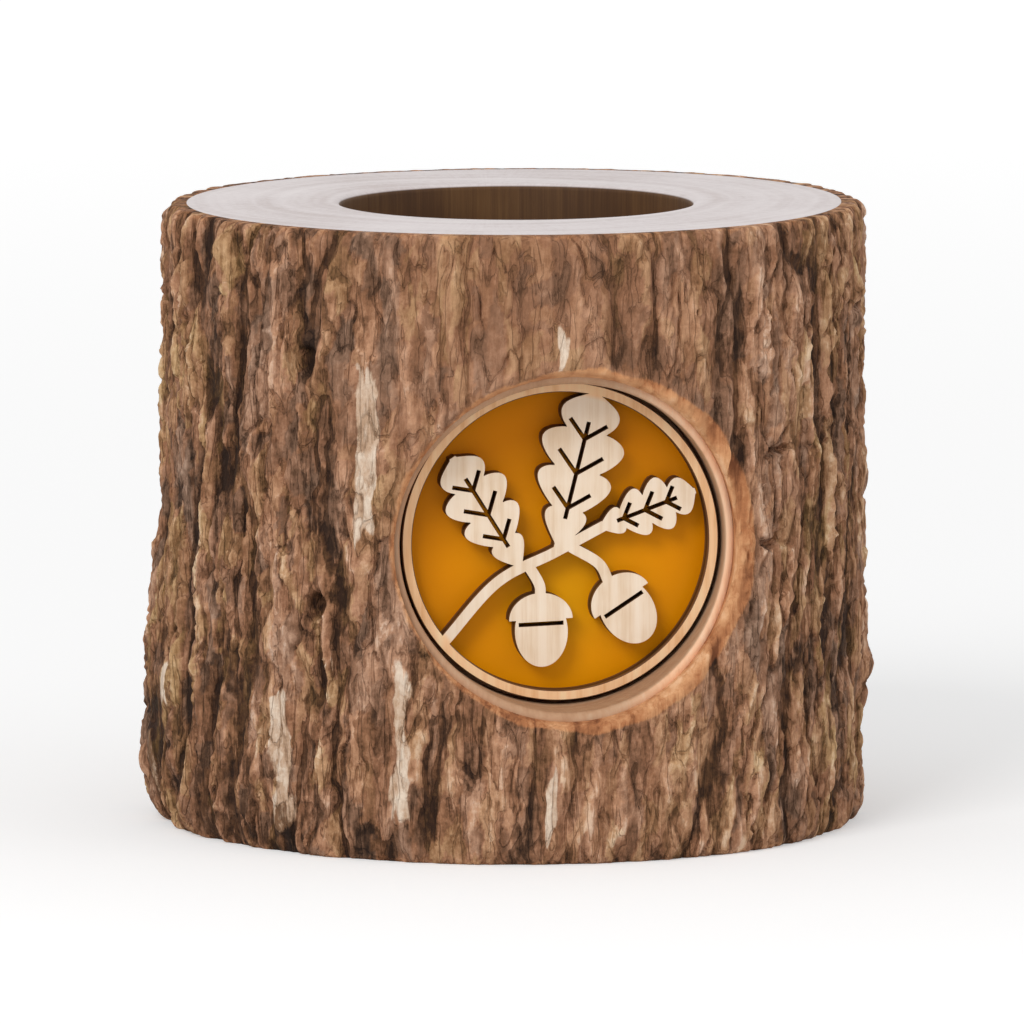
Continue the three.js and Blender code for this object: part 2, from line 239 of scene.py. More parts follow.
def add_node(material, kind, inputs=None, stops=None, out=0, **settings):
    """Adds a node with its settings and links, and returns one of its outputs.

    inputs maps a socket's name or number to a value, or to an output to link. stops are the
    places and hex colours of a colour ramp. out is the output's name or number.
    """
    made = material.node_tree.nodes.new("ShaderNode" + kind)
    for name, value in settings.items():
        setattr(made, name, value)
    for socket, value in (inputs or {}).items():
        if isinstance(value, bpy.types.NodeSocket):
            material.node_tree.links.new(value, made.inputs[socket])
        else:
            made.inputs[socket].default_value = value
    if stops:
        ramp = made.color_ramp.elements
        while len(ramp) < len(stops):
            ramp.new(0.5)
        for element, (place, colour) in zip(ramp, stops):
            element.position = place
            element.color = linear(colour)
    return made.outputs[out]


def new_material(name, sockets):
    """A material with these values on its shader's sockets, a call that adds nodes to it, and
    the output that gives each place on the object in metres."""
    material = bpy.data.materials.new(name)
    material.use_nodes = True
    for socket, value in sockets.items():
        material.node_tree.nodes["Principled BSDF"].inputs[socket].default_value = value
    add = partial(add_node, material)
    return material, add, add("TexCoord", out="Object")


def link(material, outputs, node="Principled BSDF"):
    """Links outputs to the sockets that they are listed under."""
    for socket, output in outputs.items():
        material.node_tree.links.new(output, material.node_tree.nodes[node].inputs[socket])


print("mid grey in linear light:", round(linear("#808080")[0], 3))

# %% [markdown]
# ## The camera
#
# The holder is seen from a little above and a little to the left of its window, from nearly two
# metres away through a long lens, so its top is a thin ellipse and its sides hardly converge.

# %% Camera at the photograph's angle
VIEW_AZIMUTH = -9.5
VIEW_ELEVATION = 7.2
VIEW_DISTANCE = 1.82
LENS, SENSOR = 449.0, 36.0
look_at = Vector((-0.0006, 0.0, 0.0435))
azimuth, elevation = math.radians(VIEW_AZIMUTH), math.radians(VIEW_ELEVATION)
back = Vector((
    math.sin(azimuth) * math.cos(elevation),
    -math.cos(azimuth) * math.cos(elevation),
    math.sin(elevation),
))
camera = bpy.data.objects.new("camera", bpy.data.cameras.new("camera"))
bpy.context.collection.objects.link(camera)
camera.location = look_at + back * VIEW_DISTANCE
camera.rotation_euler = back.to_track_quat("Z", "Y").to_euler()
camera.data.sensor_width, camera.data.lens = SENSOR, LENS
camera.data.clip_start = 0.01
bpy.context.scene.camera = camera
print(f"the frame is {SENSOR / LENS * VIEW_DISTANCE / MM:.0f} mm wide at the holder")

# %% [markdown]
# ## The bark's shape
#
# Bark is a skin that cracked as the trunk grew. It cracks along the grain, so furrows wander up
# the log, and the ridges between them broke into plates and flakes that are several times taller
# than wide. The furrows come from smooth noise: where it passes through its middle value lies a
# thin wandering line. The plates come from cells: scatter points, and each place belongs to the
# nearest one. Both are stretched along the log, and each layer has its own real size.


# %% Patterns that run round the log
GIRTH = 2 * math.pi * RIDGE_RADIUS


def grid_of(across, along):
    """How many columns and rows of blobs of that size in millimetres cover the log."""
    return max(3, round(GIRTH / across)), math.ceil(LOG_HEIGHT / along) + 8


def fixed_values(across, along, layer):
    """A value from 0 to 1 for each blob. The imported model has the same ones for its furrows."""
    columns, rows = grid_of(across, along)
    row, column = np.meshgrid(np.arange(rows), np.arange(columns), indexing="ij")
    wave = np.sin(12.9898 * column + 78.233 * row + 37.719 * layer) * 43758.5453
    return wave - np.floor(wave)


def soft_noise(turn, height, across, along, layer):
    """Smooth values from 0 to 1 in blobs of that size in millimetres.

    turn runs from 0 to 1 round the log, and the pattern joins up there.
    """
    columns, rows = grid_of(across, along)
    table = fixed_values(across, along, layer)
    x, y = turn * columns, height / along + 3
    i, j = np.floor(x).astype(int), np.clip(np.floor(y).astype(int), 0, rows - 2)
    f, g = x - i, np.clip(y - j, 0, 1)
    f, g = f * f * (3 - 2 * f), g * g * (3 - 2 * g)
    low = table[j, i % columns] * (1 - f) + table[j, (i + 1) % columns] * f
    high = table[j + 1, i % columns] * (1 - f) + table[j + 1, (i + 1) % columns] * f
    return low * (1 - g) + high * g


def cells(turn, height, across, along, layer):
    """How far a place lies inside its cell, 0 at the border, the cell's tone, and its tilt.

    The tilt rises over the cell in a direction of its own, as on a flake that lifts at one end.
    """
    columns, rows = grid_of(across, along)
    jitter = np.stack([fixed_values(across, along, layer + 0.37 * k) for k in range(4)], -1)
    x, y = turn * columns, height / along + 3
    i, j = np.floor(x).astype(int), np.floor(y).astype(int)
    near, second = np.full(x.shape, 9.0), np.full(x.shape, 9.0)
    tone, tilt = np.zeros(x.shape), np.zeros(x.shape)
    for di in (-1, 0, 1):
        for dj in (-1, 0, 1):
            spot = jitter[np.clip(j + dj, 0, rows - 1), (i + di) % columns]
            dx, dy = i + di + spot[..., 0] - x, j + dj + spot[..., 1] - y
            away = np.hypot(dx, dy)
            lean = 2 * math.pi * spot[..., 3]
            closer = away < near
            second = np.where(closer, near, np.minimum(second, away))
            tone = np.where(closer, spot[..., 2], tone)
            tilt = np.where(closer, dx * np.cos(lean) + dy * np.sin(lean), tilt)
            near = np.where(closer, away, near)
    return second - near, tone, tilt


def from_line(turn, height, across, along, layer, flat):
    """Distance in millimetres, across the log, from the nearest line where a noise is at its
    middle, with opposite signs on the line's two sides. The noise's slope turns its value into a
    distance, and flat keeps that from growing without end where there is no slope."""

    def noise(place):
        broad = soft_noise(place, height, across, along, layer)
        fine = soft_noise(place, height, across / 2.1, along / 2.3, layer + 100)
        return 1.3 * broad + 0.7 * fine - 1

    step = 0.4
    slope = np.abs(noise(turn + step / GIRTH) - noise(turn - step / GIRTH)) / (2 * step)
    return noise(turn) / (slope + flat)


def step_up(low, high, value):
    """0 below low, 1 above high, and smooth between them."""
    t = np.clip((value - low) / (high - low), 0, 1)
    return t * t * (3 - 2 * t)


print("columns and rows of 8 x 30 mm plates:", grid_of(8, 30))

# %% [markdown]
# No log is even. This one swells low on its left and has a small knob low on its right, and the
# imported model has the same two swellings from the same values. Its bark also has a few marks of
# its own: two small holes where twigs died, cracks across the grain, and places where the outer
# cork was scraped off and left a cream streak.

# %% The log's own marks, in degrees round it and millimetres up it
SWELLINGS = (
    {"angle": 174, "height": 12, "rise": 3.6, "width": 26, "above": 27, "below": 11},
    {"angle": -8, "height": 21, "rise": 1.7, "width": 7, "above": 4, "below": 4},
)
TWIG_HOLES = ((-136.7, 69.5, 1.9), (-133.9, 35.4, 1.5), (62.0, 51.0, 2.2))
CROSS_CRACKS = (
    (-51.0, 56.0, 7.0, 16), (-52.5, 44.0, 6.0, -8), (20.0, 63.0, 8.0, 10), (118.0, 30.0, 7.0, -12),
)
SCRAPES = [
    (-124.5, 44.6, 70.1, 2.1), (-118.6, 3.5, 29.0, 2.1), (-140.8, 2.5, 23.0, 2.6),
    (-131.6, 25.0, 31.0, 1.2), (-92.0, 70.0, 77.0, 1.5), (-93.8, 3.0, 15.0, 1.5),
]
random_marks = np.random.default_rng(21)
for _ in range(12):
    low = random_marks.uniform(4, 66)
    high = low + random_marks.uniform(6, 22)
    SCRAPES.append((random_marks.uniform(-40, 200), low, high, random_marks.uniform(1.0, 1.9)))
print("scrapes:", len(SCRAPES))

# %% [markdown]
# The height of the bark is one function of the place on the log. The mesh uses it for its
# shape, and the same call gives the values that the colours follow, so the dark lies exactly in
# the furrows. The rims at the top, at the bottom and round the window were sanded: there the
# bark thins to a round edge and its ridges fade.


# %% The bark's height over the wood
EDGE_WEAR = 0.45
EDGE_WEAR_HEIGHT = 4.0
FURROW_PITCH, RIDGE_LENGTH, FURROW_WIDTH = 6.4, 34.0, 1.1
# The window was put on the side where the bark is smoothest. These two are degrees.
CALM_SIDE, CALM_WIDTH = -96, 34
CALM_SHARE, CALM_LEVEL = 0.4, 0.62
# Between these heights in millimetres its colours grow plainer.
PLAIN_FROM, PLAIN_TO = 45, 65
# Round this side the bark is painted darker, as painted shade. The side and its width are degrees.
SHADED_SIDE, SHADED_SIDE_WIDTH = -160, 30


def wood_edge(angle, radius):
    """Radius of the log's wood at an angle: a log is never quite round."""
    return radius + 0.5 * (np.sin(2 * angle + 0.7) + 0.6 * np.sin(3 * angle - 1.1))


def degrees_from(angle, degrees):
    return (np.degrees(angle) - degrees + 180) % 360 - 180


def millimetres_from(angle, degrees):
    """Distance round the log from an angle in degrees, in millimetres."""
    return degrees_from(angle, degrees) * math.radians(1) * RIDGE_RADIUS


def swell(angle, height):
    lift = np.zeros_like(angle)
    for s in SWELLINGS:
        turn = degrees_from(angle, s["angle"]) / s["width"]
        reach = np.where(height > s["height"], s["above"], s["below"])
        lift += s["rise"] * np.exp(-(turn**2) - ((height - s["height"]) / reach) ** 2)
    return lift


def scraped(angle, height, ragged):
    """1 where the outer cork is gone, with ragged edges."""
    share = np.zeros_like(angle)
    for degrees, low, high, width in SCRAPES:
        across = np.abs(millimetres_from(angle, degrees) + 1.6 * (ragged - 0.5)) / width
        along = np.minimum(height - low, high - height) + 5 * (ragged - 0.5)
        share = np.maximum(share, (1 - step_up(0.35, 1.0, across)) * step_up(-1, 3, along))
    return share


def bark_surface(angle, height):
    """The bark's radius at each place, and the values that its colours follow."""
    turn = angle / (2 * math.pi) % 1.0
    wander = soft_noise(turn, height, 13, 24, 1) - 0.5
    jog = soft_noise(turn, height, 3.6, 6, 2) - 0.5
    shiver = soft_noise(turn, height, 1.2, 2.2, 9) - 0.5
    bent = turn + (3.2 * wander + 1.7 * jog + 1.2 * shiver) / GIRTH
    slid = height + 8 * (soft_noise(turn, height, 4, 22, 3) - 0.5) + 2 * shiver
    ragged = soft_noise(turn, height, 0.7, 1.1, 13) - 0.5
    fibre = soft_noise(bent, height, 0.8, 5, 7)
    grit = soft_noise(turn, height, 0.9, 1.0, 8)

    from_furrow = from_line(bent, slid, FURROW_PITCH, RIDGE_LENGTH, 4, 0.12)
    ridge = 1 - np.exp(-((np.abs(from_furrow) / FURROW_WIDTH) ** 1.3))
    from_groove = from_line(bent, slid, 2.9, 11, 5, 0.2)
    groove = np.exp(-((np.abs(from_groove) / 0.5) ** 1.3))
    ridge *= 1 - 0.45 * groove
    crest = np.exp(-((from_line(bent, slid, 4.4, 16, 21, 0.15) / 0.4) ** 2))
    plate_border, plate_tone, plate_tilt = cells(bent, slid, 3.4, 15, 11)
    plate = 0.2 * (plate_tone - 0.5) + 0.19 * plate_tilt
    plate -= 0.26 * (1 - step_up(0, 0.2, plate_border))
    torn = bent + 0.6 * ragged / GIRTH, height + 1.4 * ragged
    flake_border, flake_tone, flake_tilt = cells(*torn, 1.5, 5.0, 6)
    flake = 0.1 * (flake_tone - 0.5) + 0.12 * flake_tilt
    flake -= 0.1 * (1 - step_up(0, 0.2, flake_border))

    relief = 0.06 + 0.8 * ridge + (plate + flake + 0.16 * crest) * (0.25 + 0.75 * ridge)
    relief += 0.14 * (fibre - 0.5) + 0.09 * (grit - 0.5)
    calm = np.exp(-((degrees_from(angle, CALM_SIDE) / CALM_WIDTH) ** 2))
    relief += (CALM_LEVEL - relief) * CALM_SHARE * calm

    scrape = scraped(angle, height, fibre)
    relief += scrape * (CALM_LEVEL - relief) * 0.6
    for degrees, middle, radius in TWIG_HOLES:
        away = np.hypot(millimetres_from(angle, degrees), (height - middle) * 0.8) / radius
        collar = 0.22 * np.exp(-(((away - 1.5) / 0.45) ** 2))
        relief += collar - 1.5 * (1 - step_up(0.45, 1.1, away + 0.3 * (jog + shiver)))
    for degrees, middle, length, lean in CROSS_CRACKS:
        along = millimetres_from(angle, degrees)
        off = height - middle - along * math.tan(math.radians(lean)) - 2.5 * jog
        ends = 1 - step_up(0.3 * length, 0.5 * length, np.abs(along))
        relief -= 0.75 * (1 - step_up(0.2, 0.9, np.abs(off))) * ends
    thickness = BARK_BASE + FURROW_DEPTH * np.clip(relief, -0.55, 1.06)

    from_rim = np.minimum(height, LOG_HEIGHT - height)
    depth = np.clip(1 - from_rim / EDGE_WEAR_HEIGHT, 0, 1)
    left = 1 - EDGE_WEAR * (1 - np.sqrt(np.clip(1 - depth**2, 0, 1)))
    thickness = (thickness + 0.3 + swell(angle, height)) * left

    reach = wood_edge(angle, WOOD_RADIUS)
    x = (reach + thickness) * np.cos(angle)
    from_mouth = np.hypot(x, height - WINDOW_HEIGHT) - MOUTH_RADIUS
    from_mouth = np.where(np.sin(angle) < 0, from_mouth, 99.0)
    inward = np.clip(1 - from_mouth / (1.3 * BARK_BEVEL), 0, 1)
    limit = (BARK_BASE + FURROW_DEPTH) * np.sqrt(np.clip(1 - inward**2, 0, 1)) + 0.1
    thickness = np.where(inward > 0, np.minimum(thickness, limit), thickness)

    on_right = np.clip(x / MOUTH_RADIUS, -0.4, 1)
    near_mouth = 1 - step_up(0.6, 1.8, from_mouth + 0.9 * jog - 1.4 * on_right)
    near_rim = 0.35 - 0.35 * step_up(0.1, 1.2, from_rim + 1.2 * jog)
    patch = soft_noise(turn, height, 9, 16, 60)
    hue = (0.4 * plate_tone + 0.2 * patch + 0.4 * flake_tone - 0.5) * 1.4 + 0.5
    lightness = 0.31 * np.clip(relief, -0.5, 1.1) + 0.4
    lightness += 0.15 * (flake_tone - 0.5) + 0.1 * (plate_tone - 0.5) + 0.17 * crest
    lightness -= 0.08 * np.exp(-((from_furrow / 0.6) ** 2)) + 0.04 * groove
    plain = step_up(PLAIN_FROM, PLAIN_TO, height)
    lightness += (0.43 - lightness) * 0.4 * calm * plain
    # Painted shade: the bark is painted darker round its left side.
    lightness -= 0.09 * np.exp(-((degrees_from(angle, SHADED_SIDE) / SHADED_SIDE_WIDTH) ** 2))
    # Painted highlight: on the mouth's right side its edge is painted lighter, more so above the
    # window's middle, and a little darker just beyond the edge.
    painted_mouth_highlight = np.exp(-(from_mouth**2))
    painted_mouth_highlight = 0.3 * painted_mouth_highlight - 0.14 * (1 - painted_mouth_highlight) * near_mouth
    upper = np.clip((height - WINDOW_HEIGHT) / MOUTH_RADIUS, 0, 1)
    lightness += (painted_mouth_highlight + 0.3 * upper * near_mouth) * np.clip(on_right, 0, 1)
    narrowing = 1 + 1.5 * calm
    return reach + thickness, {
        "lightness": lightness,
        "from_furrow": np.clip(from_furrow * narrowing, -4, 4),
        "from_groove": np.clip(from_groove * narrowing, -4, 4),
        "boldness": (0.87 - 0.45 * calm * plain) * (1 - 0.3 * near_mouth),
        "hue": np.clip(hue, 0, 1) * (1 - 0.5 * calm) + 0.25 * calm,
        "scrape": scrape,
        "sanded": np.maximum(near_mouth, near_rim),
    }


print("thickness of the bark:", BARK_BASE, "to", BARK_BASE + FURROW_DEPTH, "mm")

# %% [markdown]
# The bark is a closed shell: a grid of points goes up the outside, turns in over the top rim,
# goes down against the wood and comes out under the bottom rim. The window is then cut through
# it with a plain cylinder, as the drill does, and only after that the colour values are worked
# out from where each point lies.

# %% Make the bark
BARK_COLUMNS, BARK_ROWS = 800, 184
DRILL_STEPS, DRILL_TIP, DRILL_END = 192, 20, 70


def bark_shell():
    rim = EDGE_WEAR_HEIGHT * (1 - np.cos(np.linspace(0, math.pi / 2, 11)))
    middle = np.linspace(EDGE_WEAR_HEIGHT, LOG_HEIGHT - EDGE_WEAR_HEIGHT, BARK_ROWS)
    heights = np.concatenate([rim[:-1], middle, LOG_HEIGHT - rim[::-1][1:]])
    around = np.arange(BARK_COLUMNS) * 2 * math.pi / BARK_COLUMNS
    height, angle = np.meshgrid(heights, around, indexing="ij")
    outside = bark_surface(angle, height)[0]
    inside = wood_edge(around, WOOD_RADIUS + 0.02)
    rows_of_radius, rows_of_height = [outside], [height]
    for row, shares in ((-1, (0.8, 0.5, 0.2, 0.0)), (0, (0.0, 0.2, 0.5, 0.8))):
        for share in shares:
            rows_of_radius.append((inside + (outside[row] - inside) * share)[None])
            rows_of_height.append(height[row][None])
    radius, height = np.concatenate(rows_of_radius), np.concatenate(rows_of_height)
    angle = np.broadcast_to(around, radius.shape)
    points = np.stack([radius * np.cos(angle), radius * np.sin(angle), height], -1)
    faces = ring_faces(len(radius), BARK_COLUMNS, closed=True)
    return plain_object("bark_skin", points.reshape(-1, 3), faces.tolist())


bark = bark_shell()
drill = [(0, DRILL_TIP), (MOUTH_RADIUS, DRILL_TIP), (MOUTH_RADIUS, DRILL_END), (0, DRILL_END)]
drill_points, drill_faces = turned(drill, DRILL_STEPS)
cut_or_join(bark, [plain_object("drill", facing_window(drill_points), drill_faces)])
bark_points = points_of(bark)
bark_values = bark_surface(around_axis(bark_points)[1], bark_points[:, 2])[1]
for name, values in bark_values.items():
    paint(bark, name, values)
print("values painted on the bark:", list(bark_values))

# %% [markdown]
# ## The bark's finish
#
# This is dry, matt lime bark. It is nearly black brown in the furrows and pale on the crests,
# and its flakes weathered differently: some to grey, most to a pinkish brown and some to tan.
# So one value gives the lightness, and another picks between three ramps of colour. Where the
# outer cork was scraped off, cream fibres show, and where the rims were sanded, the
# orange-brown inner bark. Dry bark hardly shines, so its roughness is near 1 and its specular
# level is low. A mesh can't follow the finest cracks, so the distances from the furrows are
# painted on its points, and the shader draws crisp torn edges from them. Small shards of cork,
# fibres and grit break up what lies between.

# %% Bark material
dry_bark, add, place = new_material("lime_bark_dry", {
    "Roughness": 0.9, "IOR": 1.5, "Specular IOR Level": 0.2,
})
value = {name: add("Attribute", out="Fac", attribute_name=name) for name in bark_values}
# Object coordinates are metres. Fibres are 1.2 mm wide and 6 times as tall, grit is 1.4 mm.
tall = add("Mapping", {"Vector": place, "Scale": (1, 1, 0.16)})
fibres = add("TexNoise", {"Vector": tall, "Scale": 800.0, "Detail": 5.0, "Roughness": 0.7})
grit = add("TexNoise", {"Vector": place, "Scale": 700.0, "Detail": 4.0, "Roughness": 0.7})
# A hairline crack runs wherever a second, smoother noise passes its middle value.
hairline = add("TexNoise", {"Vector": tall, "Scale": 560.0, "Detail": 2.0, "Distortion": 0.6})
hairline = add("Math", {0: hairline, 1: 0.5}, operation="SUBTRACT")
hairline = add("Math", {0: hairline}, operation="ABSOLUTE")
hairline = add("MapRange", {"Value": hairline, "From Max": 0.035, "To Min": 1.0, "To Max": 0.0})

# The floors of the furrows and grooves are cracks with torn edges, so many millimetres wide.
cracks = []
for name, half_width in (("from_furrow", 0.3), ("from_groove", 0.14)):
    off = add("Math", {0: value[name]}, operation="ABSOLUTE")
    off = add("Math", {0: fibres, 1: 1.2, 2: off}, operation="MULTIPLY_ADD")
    crack = {"Value": off, "From Min": 0.6 + half_width, "From Max": 0.78 + half_width}
    cracks.append(add("MapRange", crack | {"To Min": 1.0, "To Max": 0.0}))
# Small shards of cork, about 2 mm wide and 7 mm tall, each with a tone and level of its own.
warp = add("TexNoise", {"Vector": place, "Scale": 450.0, "Detail": 4.0}, out="Color")
warp = {0: warp, 1: (0.0025, 0.0025, 0.006), 2: place}
warp = add("VectorMath", warp, operation="MULTIPLY_ADD")
shards = add("Mapping", {"Vector": warp, "Scale": (1, 1, 0.28)})
shards = add("TexVoronoi", {"Vector": shards, "Scale": 480.0}, out="Color")
shards = add("RGBToBW", {0: shards})
print("cracks and shards:", len(dry_bark.node_tree.nodes), "nodes")

# %% The bark's colours and bump
# Noises lie about 0.5, so this sum starts at minus half of their shares.
level = add("Math", {0: hairline, 1: -0.17, 2: -1.1}, operation="MULTIPLY_ADD")
for part, share in (
    (fibres, 1.1), (grit, 0.8), (shards, 0.3), (cracks[0], -0.19), (cracks[1], -0.13),
):
    level = add("Math", {0: part, 1: share, 2: level}, operation="MULTIPLY_ADD")
level = {0: level, 1: value["boldness"], 2: value["lightness"]}
level = add("Math", level, operation="MULTIPLY_ADD")
STOP_PLACES = (0.0, 0.25, 0.5, 0.75, 1.0)
grey, pink, tan = (
    add("ValToRGB", {0: level}, list(zip(STOP_PLACES, colours)))
    for colours in (
        ("#30221a", "#5a4334", "#8e705c", "#bd9c86", "#e6cdb9"),
        ("#372318", "#62422c", "#9b6d50", "#ca9877", "#eecbae"),
        ("#342517", "#614729", "#99734b", "#c9a275", "#eed0a8"),
    )
)
tint = grey
for low, other in ((0.0, pink), (0.5, tan)):
    share = add("MapRange", {"Value": value["hue"], "From Min": low, "From Max": low + 0.5})
    tint = add("Mix", {0: share, 6: tint, 7: other}, out=2, data_type="RGBA")

cream = add("ValToRGB", {0: level}, [(0.15, "#8a664a"), (0.42, "#cdab8e"), (0.75, "#efdac4")])
show = add("Math", {0: fibres, 1: 1.3, 2: -0.42}, operation="MULTIPLY_ADD")
show = add("Math", {0: show, 1: value["scrape"]})
show = add("MapRange", {"Value": show, "From Min": 0.75, "From Max": 1.0})
tint = add("Mix", {0: show, 6: tint, 7: cream}, out=2, data_type="RGBA")

inner_bark = [(0.1, "#7c4b30"), (0.4, "#b5784f"), (0.7, "#d9a072"), (1.0, "#f2c49a")]
inner_bark = add("ValToRGB", {0: level}, inner_bark)
# Fibres of the outer bark reach into the sanded places, so their edge is torn as well.
bared = add("Math", {0: fibres, 1: 1.2, 2: value["sanded"]}, operation="MULTIPLY_ADD")
bared = add("MapRange", {"Value": bared, "From Min": 0.9, "From Max": 1.25})
tint = add("Mix", {0: bared, 6: tint, 7: inner_bark}, out=2, data_type="RGBA")

rough_height = fibres
for part, share in (
    (grit, 0.4), (hairline, -0.3), (shards, 0.35), (cracks[0], -0.6), (cracks[1], -0.4),
):
    rough_height = add("Math", {0: part, 1: share, 2: rough_height}, operation="MULTIPLY_ADD")
# Sandpaper left the rims smoother than the rest.
strength = add("MapRange", {"Value": value["sanded"], "To Min": 0.8, "To Max": 0.25})
bump = add("Bump", {"Height": rough_height, "Strength": strength, "Distance": 0.0008})
link(dry_bark, {"Base Color": tint, "Normal": bump})
finish_piece(bark, dry_bark, "holder", "bark", corner=75)

# %% [markdown]
# ## The wood
#
# The core is made as it is in the workshop: a round of wood, a well drilled from the top with a
# flat cutter, and a stepped hole drilled from the side. The drills' edges are broken with
# sandpaper, so every mouth is a small round instead of a knife edge. The side hole's round has
# to follow the log's curved surface, so each ring of its cutter bends with x.

# %% Make the wood core
LOG_STEPS, HOLE_STEPS = 420, 256


def log_round():
    angle = np.arange(LOG_STEPS) * 2 * math.pi / LOG_STEPS
    reach = wood_edge(angle, WOOD_RADIUS)
    outline = np.stack([reach * np.cos(angle), reach * np.sin(angle)], 1)
    points = [np.c_[outline, np.full(LOG_STEPS, height)] for height in (0.0, LOG_HEIGHT)]
    return plain_object("sapwood_core", np.concatenate(points), capped_faces(2, LOG_STEPS))


def well_cutter():
    mouth, corner = 0.9, 1.5
    profile = [(0, FLOOR_HEIGHT), (4, FLOOR_HEIGHT), (14, FLOOR_HEIGHT)]
    profile += arc((WELL_RADIUS - corner, FLOOR_HEIGHT + corner), corner, -90, 0, 8)
    profile += [(WELL_RADIUS, FLOOR_HEIGHT + 20), (WELL_RADIUS, LOG_HEIGHT - 12)]
    profile += arc((WELL_RADIUS + mouth, LOG_HEIGHT - mouth), mouth, 180, 90, 7)
    profile += [(WELL_RADIUS + mouth, LOG_HEIGHT + 3), (0, LOG_HEIGHT + 3)]
    return plain_object("well_cutter", *turned(profile, HOLE_STEPS))


def window_cutter():
    turn = np.arange(HOLE_STEPS) * 2 * math.pi / HOLE_STEPS

    def ring(radius, y):
        return np.stack([radius * np.cos(turn), y, WINDOW_HEIGHT + radius * np.sin(turn)], 1)

    rings = []
    for radius, distance in (
        (LIGHT_HOLE_RADIUS, 12.0), (LIGHT_HOLE_RADIUS, LEDGE), (WINDOW_RADIUS, LEDGE),
    ):
        rings.append(ring(radius, np.full(HOLE_STEPS, -distance)))
    for a in np.radians(np.linspace(0, 90, 8)):
        radius = MOUTH_RADIUS - WOOD_BEVEL * math.cos(a)
        depth = WOOD_BEVEL * (1 - math.sin(a))
        x = radius * np.cos(turn)
        angle = np.arctan2(-np.sqrt(WOOD_RADIUS**2 - x**2), x)
        rings.append(ring(radius, depth - np.sqrt(wood_edge(angle, WOOD_RADIUS) ** 2 - x**2)))
    outer = rings[-1].copy()
    outer[:, 1] = -70
    rings.append(outer)
    faces = capped_faces(len(rings), HOLE_STEPS)
    return plain_object("window_cutter", np.concatenate(rings), faces)


wood = cut_or_join(log_round(), [well_cutter(), window_cutter()])
wood_points = points_of(wood)
from_axis, wood_angle = around_axis(wood_points)
from_window = np.hypot(wood_points[:, 0], wood_points[:, 2] - WINDOW_HEIGHT)
in_window = (from_window < MOUTH_RADIUS + 0.2) & (wood_points[:, 1] < -WELL_RADIUS)
# Painted shade: the recess's wall is painted dark brown in the narrow gap behind the disc's edge,
# and round the whole mouth except its right side, which keeps its pale colour.
painted_gap_shade = 0.6 - 0.6 * step_up(WINDOW_RADIUS + 0.05, WINDOW_RADIUS + 0.3, from_window)
painted_shade_off_right = 0.5 - 0.5 * step_up(0.2, 0.7, wood_points[:, 0] / MOUTH_RADIUS)
painted_window_shade = in_window * np.maximum(painted_gap_shade, painted_shade_off_right)
paint(wood, "drilled_brown_and_painted_shade", np.maximum(from_axis < WELL_RADIUS + 0.2, painted_window_shade))
under_bark = 1 - step_up(0.6, 3.0, wood_edge(wood_angle, WOOD_RADIUS) - from_axis)
on_an_end = (wood_points[:, 2] < 1) | (wood_points[:, 2] > LOG_HEIGHT - 1)
paint(wood, "under_bark", np.where(on_an_end, 0, np.maximum(under_bark, in_window)))
print("points in the window:", int(in_window.sum()))

# %% [markdown]
# ## The wood's finish
#
# Lime is a pale, fine, creamy white wood that turns a little pink. Cut across, it shows soft
# growth rings about 2 mm apart and very fine rays. Cut along, the same rings become upright
# stripes. A solid texture gives both at once: rings about the pith, which is never quite in the
# middle, seen wherever the surface happens to cut them. The well was drilled fast, which left
# it browner and rougher than the sanded faces.

# %% Wood material
sapwood, add, place = new_material("lime_wood_sanded", {
    "Roughness": 0.62, "IOR": 1.5, "Specular IOR Level": 0.3,
})
centred = add("Mapping", {"Vector": place, "Location": (0.0035, -0.0025, 0)})
sway = add("Mapping", {"Vector": centred, "Scale": (1, 1, 0.25)})
sway = add("TexNoise", {"Vector": sway, "Scale": 28.0, "Detail": 2.0}, out="Color")
sway = add("VectorMath", {0: sway, 1: (0.5, 0.5, 0.5)}, operation="SUBTRACT")
bent = {0: sway, 1: (0.007, 0.007, 0.007), 2: centred}
bent = add("VectorMath", bent, operation="MULTIPLY_ADD")
bent = add("VectorMath", {0: bent, 1: (1, 1, 0)}, operation="MULTIPLY")
outward = add("VectorMath", {0: bent}, out="Value", operation="LENGTH")
x, y, z = add("SeparateXYZ", {0: centred}).node.outputs
bearing = add("Math", {0: y, 1: x}, operation="ARCTAN2")
polar = add("CombineXYZ", {0: bearing, 1: outward, 2: z})
# Rings are about 2.1 mm wide, 480 in a metre, and a noise makes each one's width its own. Rays
# are 0.4 mm apart at the rim, 130 in a radian, and about 15 mm long.
rings, rays = (
    add("VectorMath", {0: polar, 1: scales}, operation="MULTIPLY")
    for scales in ((0.0, 480.0, 4.0), (130.0, 70.0, 60.0))
)
rings, rays = (
    add("TexNoise", {"Vector": spot, "Scale": 1.0, "Detail": 2.0}) for spot in (rings, rays)
)
grain = add("Mapping", {"Vector": place, "Scale": (1, 1, 0.035)})
grain = add("TexNoise", {"Vector": grain, "Scale": 1100.0, "Detail": 5.0, "Roughness": 0.6})
patch = add("TexNoise", {"Vector": place, "Scale": 45.0, "Detail": 3.0})

